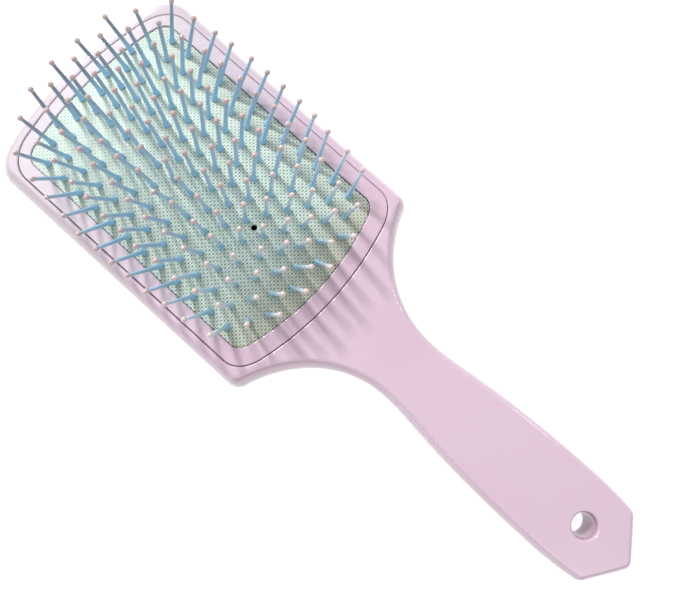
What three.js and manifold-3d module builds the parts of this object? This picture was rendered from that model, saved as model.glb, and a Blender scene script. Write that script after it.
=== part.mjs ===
// Paddle brush lying on its back, in millimetres, +Z up. The handle points along +X and the pins
// stand up. A one-piece handle and head carries a rubber air cushion, a retaining frame clamps
// the cushion's flange, and nylon pins stand through holes in the cushion.
// Lengths in a plan outline are measured from the head's centre.

import * as THREE from 'three';
import { mergeVertices } from 'three/addons/utils/BufferGeometryUtils.js';
import Module from 'manifold-3d';

const wasm = await Module();
wasm.setup();

// ---- Driving dimensions ----

const HEAD_CENTRE_X = -60.3; // from the middle of the brush's whole length
const EDGE_GAP = 0.3; // running gap between neighbouring pieces
const BOW_SPAN = 28; // a bowed edge is stated by its rise at this distance from the axis

// Body: handle and head in one moulding.
const BODY_THICKNESS = 13.4;
const HEAD_HALF_WIDTH = 40.8;
const HEAD_EDGE = { x: -57.75, bow: 3.1, corner: 9.5 };
const HEAD_SHOULDER = { x: 54.6, y: 37.7, corner: 4.3, heading: -1.25 };
const NECK = { x: 89.6, halfWidth: 11, leaveHead: 10.8, meetHead: 20.6, leaveHandle: 12 };
const PALM_SWELL = { x: 152, halfWidth: 14.8, meetNeck: 40, leaveTip: 9 };
const HANDLE_SHOULDER = { x: 168.9, y: 13.6 };
const HANDLE_TIP_X = 178.4;
const HEAD_EDGE_ROUND = { backIn: 4.2, backUp: 4.8, faceIn: 3.6, faceDown: 7.6 };
const HANDLE_EDGE_ROUND = { backIn: 3, backUp: 3.4, faceIn: 2.3, faceDown: 3.6 };
const ROUND_CHANGES = { from: 50, to: 84 }; // the head's soft edge turns into the handle's here

// Hang hole near the end of the handle, with a rounded mouth on both faces.
const HANG_HOLE = { x: 159.4, radius: 3.8, mouthIn: 0.9, mouthDeep: 2.4 };

// Recess in the head: a ledge for the cushion's flange round an air chamber.
const RECESS = {
  headX: -52.6,
  headBow: 3.1,
  handleX: 57.2,
  handleBow: -3.7,
  halfWidth: 36.4,
  headCorner: 10,
  handleCorner: 8.4,
};
const OPENING = {
  headX: -48.5,
  headBow: 3,
  handleX: 51.8,
  handleBow: -4.3,
  halfWidth: 31.5,
  headCorner: 4.8,
  handleCorner: 4.8,
};
const CHAMBER_OVER_OPENING = 0.5;
const CHAMBER_FLOOR_Z = 2.6;
const LEDGE_Z = 9.3;

// Rubber cushion.
const RUBBER = 1.5;
const FLANGE_TOP_Z = LEDGE_Z + EDGE_GAP + RUBBER;
const FLANGE_INSIDE = 1; // how far the flange reaches inside the opening, where the dome joins it
const COLLAR_HEIGHT = 0.6; // the flange is this much thicker where it joins the dome
const CROWN = { height: 8.4, alongX: 5.6, alongY: 6.6, corner: 4.1, reachX: 42, reachY: 28 };
// The cushion levels out by the frame, higher at the head's end than elsewhere.
const PAD_EDGE = { headHeight: 1.8, height: 0.7, headX: -46, fallsToX: -26, blend: 0.6 };
const DOME_CELLS = 31; // half pitches along the dome
const VENT = { x: 24.5, radius: 1 };

// Retaining frame and its locating pegs.
const FRAME_SEAM = 0.35; // gap that shows as the dark line round the frame
const FRAME_EDGE_ROUND = 0.4;
const PEG = { radius: 0.9, depth: 2.4, rootInFrame: 0.5, alongX: [-36, -12, 14, 38], fromAxis: 34.2 };

// Pins.
const PITCH_X = 7.02;
const PITCH_Y = 5.6;
const COLUMN_NAMES = 'abcdefghijk';
const PINS_IN_LONG_COLUMN = 14;
const PINS_IN_SHORT_COLUMN = 13;
const PIN_LENGTH = 16.1; // from the cushion to the middle of the ball
const PIN_FOOT = { depth: 2.3, radius: 0.62 };
const PIN_FLARE = { from: 0.5, radius: 1.1, to: 2.4, topRadius: 0.74 };
const PIN_NECK_RADIUS = 0.58;
const BALL_RADIUS = 0.97;
const PIN_SIDES = 5;
const LEAN = { x: 0.02, x3: 0.32, xyy: -0.25, y: 0.24, y3: 0.42, yxx: -0.41 };
const WEB = { width: 2, thickness: 0.8 };
const PIN_HOLE = { halfAbove: 1.4, halfBelow: 1 };

// The pins are grouped by how high the cushion stands under them.
const HIGH_ZONE = 6.2;
const LOW_ZONE = 3.2;

// ---- Materials ----

const material = (color, roughness) =>
  new THREE.MeshStandardMaterial({ color, roughness, metalness: 0 });

const MATERIALS = {
  shell: material(0xe8d0e2, 0.22),
  frame: material(0xe8cfe0, 0.2),
  rubber: material(0xc9dccd, 0.75),
  pin: material(0x78aed2, 0.3),
};

// ---- How finely curves are cut ----

const CURVE_STEPS = 5;
const SIDE_STEPS = 5;
const EDGE_STEPS = 3;
const HOLE_SIDES = 20;
const PEG_SIDES = 8;
const SAME_POINT = 0.05; // points of an outline this close are one point
const OVERRUN = 1; // how far a cutter runs past the face it cuts
const CUTTER_HEIGHT = 15; // taller than the cushion's crown

// ---- Plan outlines, anticlockwise from above, starting at the head edge ----

// A bowed edge is the parabola x + bow * (y / BOW_SPAN)^2.
const bowedX = (edge, y) => edge.x + edge.bow * (y / BOW_SPAN) ** 2;

// The same edge as a quadratic curve from (., fromY) to (., -fromY).
function drawBowedEdge(shape, edge, fromY) {
  const endX = bowedX(edge, fromY);
  shape.quadraticCurveTo(2 * edge.x - endX, 0, endX, -fromY);
}

// Round corner from the current point to `end`, leaving along `out` and arriving along `into`.
function drawCorner(shape, end, out, into) {
  const start = shape.currentPoint;
  const turn = out.angleTo(into);
  const pull = (2 / 3) * start.distanceTo(end) * Math.tan(turn / 4) / Math.sin(turn / 2);
  const first = start.clone().addScaledVector(out, pull);
  const second = end.clone().addScaledVector(into, -pull);
  shape.bezierCurveTo(first.x, first.y, second.x, second.y, end.x, end.y);
}

// Straight stretch along the brush from the current point, in equal steps.
function drawSide(shape, endX, steps) {
  const { x, y } = shape.currentPoint;
  for (let i = 1; i <= steps; i += 1) shape.lineTo(x + (endX - x) * i / steps, y);
}

const point = (x, y) => new THREE.Vector2(x, y);
const bowTangent = (edge, y) => point(2 * edge.bow * y / BOW_SPAN ** 2, 1).normalize();

// Four-sided panel with straight long sides and bowed ends.
function panelOutline(panel) {
  const { halfWidth, headCorner, handleCorner } = panel;
  const head = { x: panel.headX, bow: panel.headBow };
  const foot = { x: panel.handleX, bow: panel.handleBow };
  const headY = halfWidth - headCorner;
  const footY = halfWidth - handleCorner;
  const headEndX = bowedX(head, headY);
  const footEndX = bowedX(foot, footY);
  const shape = new THREE.Shape();
  shape.moveTo(headEndX, headY);
  drawBowedEdge(shape, head, headY);
  const downHead = bowTangent(head, -headY).negate();
  drawCorner(shape, point(headEndX + headCorner, -halfWidth), downHead, point(1, 0));
  drawSide(shape, footEndX - handleCorner, SIDE_STEPS);
  const upFoot = bowTangent(foot, -footY);
  drawCorner(shape, point(footEndX, -footY), point(1, 0), upFoot);
  shape.quadraticCurveTo(2 * foot.x - footEndX, 0, footEndX, footY);
  const overFoot = bowTangent(foot, footY);
  drawCorner(shape, point(footEndX - handleCorner, halfWidth), overFoot, point(-1, 0));
  drawSide(shape, headEndX + headCorner, SIDE_STEPS);
  drawCorner(shape, point(headEndX, headY), point(-1, 0), bowTangent(head, headY).negate());
  return dropRepeats(shape.getPoints(CURVE_STEPS));
}

// The body's lower side from the head's shoulder to the handle's shoulder.
function lowerHandleCurves() {
  const turn = point(Math.cos(HEAD_SHOULDER.heading), -Math.sin(HEAD_SHOULDER.heading));
  const shoulder = point(HEAD_SHOULDER.x, -HEAD_SHOULDER.y);
  const neck = point(NECK.x, -NECK.halfWidth);
  const swell = point(PALM_SWELL.x, -PALM_SWELL.halfWidth);
  const handleEnd = point(HANDLE_SHOULDER.x, -HANDLE_SHOULDER.y);
  return [
    new THREE.CubicBezierCurve(
      shoulder,
      shoulder.clone().addScaledVector(turn, NECK.leaveHead),
      point(neck.x - NECK.meetHead, neck.y),
      neck,
    ),
    new THREE.CubicBezierCurve(
      neck,
      point(neck.x + NECK.leaveHandle, neck.y),
      point(swell.x - PALM_SWELL.meetNeck, swell.y),
      swell,
    ),
    new THREE.QuadraticBezierCurve(swell, point(swell.x + PALM_SWELL.leaveTip, swell.y), handleEnd),
  ];
}

// The lower half of the body's outline, from the middle of the head's edge to the handle's tip.
function lowerHalfOutline() {
  const endY = HEAD_HALF_WIDTH - HEAD_EDGE.corner;
  const edgeEndX = bowedX(HEAD_EDGE, endY);
  const shape = new THREE.Shape();
  shape.moveTo(HEAD_EDGE.x, 0);
  shape.quadraticCurveTo(HEAD_EDGE.x, -endY / 2, edgeEndX, -endY);
  const downEdge = bowTangent(HEAD_EDGE, -endY).negate();
  drawCorner(shape, point(edgeEndX + HEAD_EDGE.corner, -HEAD_HALF_WIDTH), downEdge, point(1, 0));
  shape.lineTo(HEAD_SHOULDER.x - HEAD_SHOULDER.corner, -HEAD_HALF_WIDTH);
  const turn = point(Math.cos(HEAD_SHOULDER.heading), -Math.sin(HEAD_SHOULDER.heading));
  drawCorner(shape, point(HEAD_SHOULDER.x, -HEAD_SHOULDER.y), point(1, 0), turn);
  const handleSide = lowerHandleCurves().flatMap((curve) => curve.getPoints(CURVE_STEPS));
  return [...shape.getPoints(CURVE_STEPS), ...handleSide, point(HANDLE_TIP_X, 0)];
}

function bodyOutline() {
  const lower = lowerHalfOutline();
  const upper = lower.slice(1, -1).reverse().map(({ x, y }) => point(x, -y));
  return dropRepeats([...lower, ...upper]);
}

// Points closer than a hair to the one before them, round the closed outline, are left out.
function dropRepeats(points) {
  const before = (i) => points[(i + points.length - 1) % points.length];
  return points.filter((p, i) => p.distanceTo(before(i)) > SAME_POINT);
}

// Moves each point of a closed outline inwards by its own distance, with mitred corners.
function inset(outline, distanceAt) {
  const count = outline.length;
  return outline.map((p, i) => {
    const before = p.clone().sub(outline[(i + count - 1) % count]).normalize();
    const after = outline[(i + 1) % count].clone().sub(p).normalize();
    const inwardBefore = point(-before.y, before.x);
    const inwardAfter = point(-after.y, after.x);
    const mitre = inwardBefore.clone().add(inwardAfter);
    mitre.divideScalar(1 + inwardBefore.dot(inwardAfter));
    return p.clone().addScaledVector(mitre, distanceAt(p));
  });
}

// ---- Solids from stacked contours ----

const raise = (outline, z) => outline.map((p) => new THREE.Vector3(p.x, p.y, z));

// Side walls between contours of equal length, each one anticlockwise seen from its successor.
function wallFaces(contourCount, length, closeRing) {
  const faces = [];
  const last = closeRing ? contourCount : contourCount - 1;
  for (let k = 0; k < last; k += 1) {
    const low = k * length;
    const high = ((k + 1) % contourCount) * length;
    for (let i = 0; i < length; i += 1) {
      const j = (i + 1) % length;
      faces.push(low + i, low + j, high + j);
      faces.push(low + i, high + j, high + i);
    }
  }
  return faces;
}

function contourGeometry(contours, faces) {
  const geometry = new THREE.BufferGeometry();
  const places = contours.flat().flatMap((p) => [p.x, p.y, p.z]);
  geometry.setAttribute('position', new THREE.Float32BufferAttribute(places, 3));
  geometry.setIndex(faces);
  return geometry;
}

// Closed solid through the contours, from the lowest up, with a flat cap at each end.
function loft(contours) {
  const length = contours[0].length;
  const faces = wallFaces(contours.length, length, false);
  const topStart = (contours.length - 1) * length;
  const flat = (contour) => contour.map((p) => point(p.x, p.y));
  for (const [a, b, c] of THREE.ShapeUtils.triangulateShape(flat(contours[0]), [])) {
    faces.push(a, c, b);
  }
  for (const [a, b, c] of THREE.ShapeUtils.triangulateShape(flat(contours.at(-1)), [])) {
    faces.push(topStart + a, topStart + b, topStart + c);
  }
  return contourGeometry(contours, faces);
}

// Closed ring whose section runs through the contours and back to the first.
const loftRing = (contours) =>
  contourGeometry(contours, wallFaces(contours.length, contours[0].length, true));

// Vertical prism of a plan outline.
const prism = (outline, lowZ, highZ) => loft([raise(outline, lowZ), raise(outline, highZ)]);

// ---- Joining and cutting ----

function asSolid(geometry) {
  const bare = geometry.clone();
  bare.deleteAttribute('normal');
  bare.deleteAttribute('uv');
  const merged = mergeVertices(bare, 1e-4);
  const index = merged.index.array;
  const kept = [];
  for (let i = 0; i < index.length; i += 3) {
    const [a, b, c] = [index[i], index[i + 1], index[i + 2]];
    if (a !== b && b !== c && a !== c) kept.push(a, b, c);
  }
  return new wasm.Manifold(new wasm.Mesh({
    numProp: 3,
    vertProperties: new Float32Array(merged.attributes.position.array),
    triVerts: new Uint32Array(kept),
  }));
}

function asGeometry(solid) {
  const mesh = solid.getMesh();
  const geometry = new THREE.BufferGeometry();
  geometry.setAttribute('position', new THREE.BufferAttribute(mesh.vertProperties, 3));
  geometry.setIndex(new THREE.BufferAttribute(mesh.triVerts, 1));
  geometry.computeVertexNormals();
  return geometry;
}

function cut(body, tools) {
  return tools.reduce((left, tool) => left.subtract(asSolid(tool)), asSolid(body));
}

function join(pieces) {
  return pieces.map(asSolid).reduce((whole, piece) => whole.add(piece));
}

function namedMesh(name, geometry, finish) {
  const mesh = new THREE.Mesh(geometry, finish);
  mesh.name = name;
  return mesh;
}

// ---- Handle and head ----

// Level heights and insets of a rounded edge: back quarter ellipse, wall, face quarter ellipse.
function edgeLevels(round) {
  const levels = [];
  for (let i = 0; i <= EDGE_STEPS; i += 1) {
    const turn = (i / EDGE_STEPS) * Math.PI / 2;
    const z = round.backUp * (1 - Math.cos(turn));
    levels.push({ in: round.backIn * (1 - Math.sin(turn)), z });
  }
  for (let i = 0; i <= EDGE_STEPS; i += 1) {
    const turn = (i / EDGE_STEPS) * Math.PI / 2;
    const z = BODY_THICKNESS - round.faceDown * (1 - Math.sin(turn));
    levels.push({ in: round.faceIn * (1 - Math.cos(turn)), z });
  }
  return levels;
}

function hangHoleCutter() {
  const { radius, mouthIn, mouthDeep } = HANG_HOLE;
  const mouth = [];
  for (let i = 0; i <= EDGE_STEPS; i += 1) {
    const turn = (i / EDGE_STEPS) * Math.PI / 2;
    const r = radius + mouthIn * (1 - Math.cos(turn));
    mouth.push({ r, down: mouthDeep * (1 - Math.sin(turn)) });
  }
  const top = BODY_THICKNESS + OVERRUN;
  const profile = [point(0, -OVERRUN), point(radius + mouthIn, -OVERRUN)];
  for (const { r, down } of [...mouth].reverse()) profile.push(point(r, down));
  for (const { r, down } of mouth) profile.push(point(r, BODY_THICKNESS - down));
  profile.push(point(radius + mouthIn, top), point(0, top));
  const cutter = new THREE.LatheGeometry(profile, HOLE_SIDES);
  cutter.rotateX(Math.PI / 2);
  cutter.translate(HANG_HOLE.x, 0, 0);
  return cutter;
}

function pegPlaces() {
  return PEG.alongX.flatMap((x) => [point(x, PEG.fromAxis), point(x, -PEG.fromAxis)]);
}

function pegSolid({ x, y }, radius, lowZ, highZ) {
  const peg = new THREE.CylinderGeometry(radius, radius, highZ - lowZ, PEG_SIDES);
  peg.rotateX(Math.PI / 2);
  peg.translate(x, y, (lowZ + highZ) / 2);
  return peg;
}

function handleBody() {
  const outline = bodyOutline();
  const head = edgeLevels(HEAD_EDGE_ROUND);
  const handle = edgeLevels(HANDLE_EDGE_ROUND);
  const share = (p) => THREE.MathUtils.smoothstep(p.x, ROUND_CHANGES.from, ROUND_CHANGES.to);
  const contours = head.map((level, k) => {
    const rim = inset(outline, (p) => THREE.MathUtils.lerp(level.in, handle[k].in, share(p)));
    return rim.map((p, i) => {
      const z = THREE.MathUtils.lerp(level.z, handle[k].z, share(outline[i]));
      return new THREE.Vector3(p.x, p.y, z);
    });
  });
  const above = BODY_THICKNESS + OVERRUN;
  const recess = prism(panelOutline(RECESS), LEDGE_Z, above);
  const chamber = prism(panelOutline(grown(OPENING, CHAMBER_OVER_OPENING)), CHAMBER_FLOOR_Z, above);
  const sockets = pegPlaces().map((place) =>
    pegSolid(place, PEG.radius + EDGE_GAP, LEDGE_Z - PEG.depth, above));
  const solid = cut(loft(contours), [recess, chamber, hangHoleCutter(), ...sockets]);
  return namedMesh('handle_body', asGeometry(solid), MATERIALS.shell);
}

// The same panel with every edge moved outwards.
function grown(panel, by) {
  return {
    ...panel,
    headX: panel.headX - by,
    handleX: panel.handleX + by,
    halfWidth: panel.halfWidth + by,
    headCorner: panel.headCorner + by,
    handleCorner: panel.handleCorner + by,
  };
}

// ---- Retaining frame ----

function retainingFrame() {
  const outer = panelOutline(grown(RECESS, -FRAME_SEAM));
  const inner = panelOutline(OPENING);
  const width = RECESS.halfWidth - FRAME_SEAM - OPENING.halfWidth;
  const edge = FRAME_EDGE_ROUND / width;
  const lowZ = FLANGE_TOP_Z + EDGE_GAP;
  const sideZ = BODY_THICKNESS - FRAME_EDGE_ROUND;
  const across = (share, z) => inner.map((p, i) => {
    const q = p.clone().lerp(outer[i], share);
    return new THREE.Vector3(q.x, q.y, z);
  });
  const section = [
    across(1, lowZ), across(1, sideZ), across(1 - edge, BODY_THICKNESS),
    across(edge, BODY_THICKNESS), across(0, sideZ), across(0, lowZ),
  ];
  const pegEndZ = LEDGE_Z - PEG.depth + EDGE_GAP;
  const pegRootZ = lowZ + PEG.rootInFrame;
  const pegs = pegPlaces().map((place) => pegSolid(place, PEG.radius, pegEndZ, pegRootZ));
  const solid = join([loftRing(section), ...pegs]);
  return namedMesh('retaining_frame', asGeometry(solid), MATERIALS.frame);
}

// ---- Cushion ----

// Height of the cushion's top above its flange, from the head's centre.
function crownAt(x, y) {
  const u = x / CROWN.reachX;
  const v = y / CROWN.reachY;
  const dome = CROWN.height - CROWN.alongX * u * u - CROWN.alongY * v * v;
  const crown = dome + CROWN.corner * u * u * v * v;
  const fallen = THREE.MathUtils.smoothstep(x, PAD_EDGE.headX, PAD_EDGE.fallsToX);
  const edge = THREE.MathUtils.lerp(PAD_EDGE.headHeight, PAD_EDGE.height, fallen);
  return (crown + edge + Math.hypot(crown - edge, PAD_EDGE.blend)) / 2;
}

// Grid lines of the dome. Along the brush they are half a pitch apart and across it they lie
// between the columns, so each pin stands in a cell of its own. The outer ones lie beyond the
// opening.
const domeLineX = (i) => (i - DOME_CELLS / 2) * PITCH_X / 2;

function domeLineY(j) {
  const line = (j - COLUMN_NAMES.length / 2) * PITCH_Y;
  const isOuter = j === 0 || j === COLUMN_NAMES.length;
  return isOuter ? Math.sign(line) * (OPENING.halfWidth + RUBBER) : line;
}

// A point on the dome, or a sheet's thickness under it.
const onDome = (x, y, under) =>
  new THREE.Vector3(x, y, FLANGE_TOP_Z + crownAt(x, y) - (under ? RUBBER : 0));

// Corners of the hole round a pin, anticlockwise. It narrows downwards and follows the pin's lean.
function pinHoleCorners(pin, under) {
  const half = under ? PIN_HOLE.halfBelow : PIN_HOLE.halfAbove;
  const drop = under ? RUBBER / pin.direction.z : 0;
  const { x, y } = pin.base.clone().addScaledVector(pin.direction, -drop);
  return [[-1, -1], [1, -1], [1, 1], [-1, 1]].map(([i, j]) =>
    onDome(x + i * half, y + j * half, under));
}

// Faces of a cell with the given corners, left whole or open round a hole's corners.
function cellFaces(corners, hole) {
  const [a, b, c, d] = corners;
  if (!hole) return [[a, b, c], [a, c, d]];
  return corners.flatMap((corner, k) => {
    const next = (k + 1) % 4;
    return [[corner, corners[next], hole[next]], [corner, hole[next], hole[k]]];
  });
}

// The domed sheet as a list of points above, the points below them, and the upper faces.
function domeSheet() {
  const above = [];
  const below = [];
  const faces = [];
  const rows = COLUMN_NAMES.length + 1;
  for (let i = 0; i <= DOME_CELLS; i += 1) {
    for (let j = 0; j < rows; j += 1) {
      above.push(onDome(domeLineX(i), domeLineY(j), false));
      below.push(onDome(domeLineX(i), domeLineY(j), true));
    }
  }
  for (let j = 0; j < COLUMN_NAMES.length; j += 1) {
    const pins = columnPins(j);
    for (let i = 0; i < DOME_CELLS; i += 1) {
      const start = i * rows + j;
      const corners = [start, start + rows, start + rows + 1, start + 1];
      const middle = (domeLineX(i) + domeLineX(i + 1)) / 2;
      const pin = pins.find(({ base }) => Math.abs(base.x - middle) < SAME_POINT);
      const first = above.length;
      if (pin) above.push(...pinHoleCorners(pin, false));
      if (pin) below.push(...pinHoleCorners(pin, true));
      faces.push(...cellFaces(corners, pin && [0, 1, 2, 3].map((k) => first + k)));
    }
  }
  return { above, below, faces };
}

// Closed solid between two sheets of matching points, walled along every free edge.
function thicken({ above, below, faces }) {
  const offset = above.length;
  const edges = new Set(faces.flatMap(([a, b, c]) => [`${a} ${b}`, `${b} ${c}`, `${c} ${a}`]));
  const all = [];
  for (const [a, b, c] of faces) {
    all.push(a, b, c, offset + a, offset + c, offset + b);
  }
  for (const edge of edges) {
    const [a, b] = edge.split(' ').map(Number);
    if (!edges.has(`${b} ${a}`)) all.push(offset + a, offset + b, b, offset + a, b, a);
  }
  return contourGeometry([above, below], all);
}

// The part of the dome that lies over the opening.
function domeOverOpening() {
  const area = prism(panelOutline(grown(OPENING, -EDGE_GAP)), 0, FLANGE_TOP_Z + CUTTER_HEIGHT);
  return asSolid(thicken(domeSheet())).intersect(asSolid(area));
}

// The flat rim that the frame clamps, with the thicker collar that joins it to the dome.
function flangeSolid() {
  const low = LEDGE_Z + EDGE_GAP;
  const collarTop = FLANGE_TOP_Z + COLLAR_HEIGHT;
  const plate = prism(panelOutline(grown(RECESS, -2 * EDGE_GAP)), low, FLANGE_TOP_Z);
  const collar = prism(panelOutline(grown(OPENING, -EDGE_GAP)), low, collarTop);
  const window = prism(panelOutline(grown(OPENING, -FLANGE_INSIDE)), 0, collarTop + OVERRUN);
  return join([plate, collar]).subtract(asSolid(window));
}

function rubberCushion() {
  const ventZ = FLANGE_TOP_Z + crownAt(VENT.x, 0);
  const vent = pegSolid(point(VENT.x, 0), VENT.radius, ventZ - 2 * RUBBER, ventZ + OVERRUN);
  const pegHoles = pegPlaces().map((place) =>
    pegSolid(place, PEG.radius + EDGE_GAP, LEDGE_Z, FLANGE_TOP_Z + OVERRUN));
  const whole = domeOverOpening().add(flangeSolid());
  const solid = [vent, ...pegHoles].reduce((left, tool) => left.subtract(asSolid(tool)), whole);
  return namedMesh('rubber_cushion', asGeometry(solid), MATERIALS.rubber);
}

// ---- Pins ----

// Where a pin stands on the cushion and which way it points, from the head's centre.
function pinAt(x, y) {
  const u = x / CROWN.reachX;
  const v = y / CROWN.reachY;
  const leanX = LEAN.x * u + LEAN.x3 * u ** 3 + LEAN.xyy * u * v * v;
  const leanY = LEAN.y * v + LEAN.y3 * v ** 3 + LEAN.yxx * v * u * u;
  const height = crownAt(x, y);
  return {
    base: new THREE.Vector3(x, y, FLANGE_TOP_Z + height),
    direction: new THREE.Vector3(leanX, leanY, 1).normalize(),
    height,
  };
}

// Columns alternate between long and short, half a pitch apart, so the pins are staggered. The two
// outer columns leave out their end pins, where the corners are.
function columnPins(column) {
  const isLong = column % 2 === 0;
  const count = isLong ? PINS_IN_LONG_COLUMN : PINS_IN_SHORT_COLUMN;
  const isOuter = column === 0 || column === COLUMN_NAMES.length - 1;
  const skipped = isOuter ? 1 : 0;
  const y = (column - (COLUMN_NAMES.length - 1) / 2) * PITCH_Y;
  const pins = [];
  for (let i = skipped; i < count - skipped; i += 1) {
    pins.push(pinAt((i - (count - 1) / 2) * PITCH_X, y));
  }
  return pins;
}

function standUp(geometry, pin) {
  const turn = new THREE.Quaternion().setFromUnitVectors(new THREE.Vector3(0, 1, 0), pin.direction);
  geometry.applyQuaternion(turn);
  geometry.translate(pin.base.x, pin.base.y, pin.base.z);
  return geometry;
}

function pinSolid(pin) {
  const profile = [
    point(0, -PIN_FOOT.depth),
    point(PIN_FOOT.radius, -PIN_FOOT.depth),
    point(PIN_FLARE.radius, PIN_FLARE.from),
    point(PIN_FLARE.topRadius, PIN_FLARE.to),
    point(PIN_NECK_RADIUS, PIN_LENGTH - BALL_RADIUS),
    point(BALL_RADIUS, PIN_LENGTH),
    point(0, PIN_LENGTH + BALL_RADIUS),
  ];
  return standUp(new THREE.LatheGeometry(profile, PIN_SIDES), pin);
}

const footOf = (pin) => pin.base.clone().addScaledVector(pin.direction, -PIN_FOOT.depth);

// Four corners of the bar, square to the pin and anticlockwise seen from the handle.
function webSection({ place, up }) {
  const across = up.clone().cross(new THREE.Vector3(1, 0, 0)).normalize();
  const corner = (side, rise) => place.clone()
    .addScaledVector(across, side * WEB.width / 2)
    .addScaledVector(up, rise * WEB.thickness / 2);
  return [corner(-1, -1), corner(1, -1), corner(1, 1), corner(-1, 1)];
}

// Flat bar under the cushion that joins the feet of neighbouring pins.
function web(pins) {
  const along = new THREE.Vector3(WEB.width / 2, 0, 0);
  const stations = [
    { place: footOf(pins[0]).sub(along), up: pins[0].direction },
    ...pins.slice(1, -1).map((pin) => ({ place: footOf(pin), up: pin.direction })),
    { place: footOf(pins.at(-1)).add(along), up: pins.at(-1).direction },
  ];
  const contours = stations.map(webSection);
  const faces = wallFaces(contours.length, 4, false);
  const end = (contours.length - 1) * 4;
  faces.push(0, 2, 1, 0, 3, 2, end, end + 1, end + 2, end, end + 2, end + 3);
  return contourGeometry(contours, faces);
}

const zoneOf = (pin) => {
  if (pin.height >= HIGH_ZONE) return 'centre';
  return pin.height >= LOW_ZONE ? 'shoulder' : 'edge';
};

// Neighbouring pins of a column that stand in the same zone, from the head's edge to the handle.
function columnRuns(column) {
  const runs = [];
  for (const pin of columnPins(column)) {
    const zone = zoneOf(pin);
    if (runs.length === 0 || runs.at(-1).zone !== zone) runs.push({ zone, pins: [] });
    runs.at(-1).pins.push(pin);
  }
  return runs;
}

function runName(column, run, runs) {
  const place = runs.indexOf(run) - (runs.length - 1) / 2;
  const end = place === 0 ? 'middle' : `${place < 0 ? 'head' : 'handle'}_${run.zone}`;
  return `pins_${COLUMN_NAMES[column]}_${end}`;
}

function pinStrips() {
  return [...COLUMN_NAMES].flatMap((letter, column) => {
    const runs = columnRuns(column);
    return runs.map((run) => {
      const solid = join([web(run.pins), ...run.pins.map(pinSolid)]);
      return namedMesh(runName(column, run, runs), asGeometry(solid), MATERIALS.pin);
    });
  });
}

// ---- Assembly ----

const head = new THREE.Group();
head.position.x = HEAD_CENTRE_X;
head.add(handleBody(), retainingFrame(), rubberCushion(), ...pinStrips());

const paddleBrush = new THREE.Group();
paddleBrush.add(head);

export default paddleBrush;
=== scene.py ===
"""Paddle hairbrush: the finished looks of the handle and head, frame, cushion and pins.

Lengths are in millimetres from the middle of the head in plan and from the flat back
in height. A mesh is moved to the brush's own frame and to metres as it is made.
"""

import logging
import math
from collections.abc import Callable
from dataclasses import dataclass, field, replace
from enum import Enum

import bmesh
import bpy
import numpy as np
from mathutils import Matrix, Vector
from mathutils.geometry import delaunay_2d_cdt


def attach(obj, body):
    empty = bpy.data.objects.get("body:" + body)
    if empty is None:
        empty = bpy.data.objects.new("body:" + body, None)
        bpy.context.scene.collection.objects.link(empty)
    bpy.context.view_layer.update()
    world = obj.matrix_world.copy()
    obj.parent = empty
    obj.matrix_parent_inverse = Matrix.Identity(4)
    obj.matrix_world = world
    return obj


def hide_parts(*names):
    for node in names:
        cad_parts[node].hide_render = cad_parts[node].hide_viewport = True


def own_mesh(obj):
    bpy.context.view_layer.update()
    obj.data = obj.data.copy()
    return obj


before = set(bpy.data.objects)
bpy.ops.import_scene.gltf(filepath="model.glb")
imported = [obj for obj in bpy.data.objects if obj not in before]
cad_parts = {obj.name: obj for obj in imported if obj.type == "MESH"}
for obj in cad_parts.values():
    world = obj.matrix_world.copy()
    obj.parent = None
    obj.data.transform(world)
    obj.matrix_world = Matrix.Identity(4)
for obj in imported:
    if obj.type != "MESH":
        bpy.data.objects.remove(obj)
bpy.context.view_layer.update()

LOG = logging.getLogger("paddle_brush")

MM = 0.001
HEAD_CENTRE_X = -60.3
BOW_SPAN = 28.0
EDGE_GAP = 0.3
TAU = 2 * math.pi

Points = np.ndarray
Loop = list[int]
Edges = list[tuple[int, int]]
Rounding = tuple[float, float]
Profile = list[tuple[float, float]]
Keep = Callable[[Points], np.ndarray]
Colour = tuple[float, float, float, float]
Socket = bpy.types.NodeSocket


class Body(Enum):
    """The moving bodies of the brush."""

    HANDLE = "handle_and_head"
    CENTRE = "centre_pins"
    SHOULDER = "shoulder_pins"
    EDGE = "edge_pins"


class Slot(Enum):
    """The record's material slots."""

    SHELL = "shell"
    FRAME = "frame"
    CUSHION = "cushion"
    PIN = "pin"
    BALL_TIP = "ball_tip"


class Shading(Enum):
    """How a mesh takes its normals."""

    SMOOTH = "smooth"
    LEVEL_FACES = "smooth, with the large flat faces kept level"


# ---- Plan outlines ----


def quadratic(start: Points, pull: Points, end: Points, steps: int) -> Points:
    """Points of a quadratic curve after its start.

    Args:
        start: First point.
        pull: Control point.
        end: Last point.
        steps: How many points to give.

    Returns:
        An array of `steps` points that ends at `end`.
    """
    t = (np.arange(1, steps + 1) / steps)[:, None]
    return (1 - t) ** 2 * start + 2 * t * (1 - t) * pull + t**2 * end


def cubic(start: Points, first: Points, second: Points, end: Points, steps: int) -> Points:
    """Points of a cubic curve after its start.

    Args:
        start: First point.
        first: Control point next to the start.
        second: Control point next to the end.
        end: Last point.
        steps: How many points to give.

    Returns:
        An array of `steps` points that ends at `end`.
    """
    t = (np.arange(1, steps + 1) / steps)[:, None]
    early = (1 - t) ** 3 * start + 3 * t * (1 - t) ** 2 * first
    return early + 3 * t**2 * (1 - t) * second + t**3 * end


def smooth_step(value: np.ndarray, first: float, last: float) -> np.ndarray:
    """A share that rises smoothly from 0 at the first value to 1 at the last."""
    t = np.clip((value - first) / (last - first), 0, 1)
    return t * t * (3 - 2 * t)


def straight(start: Points, end: Points, steps: int) -> Points:
    """Points of a straight line after its start."""
    t = (np.arange(1, steps + 1) / steps)[:, None]
    return start + t * (end - start)


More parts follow.
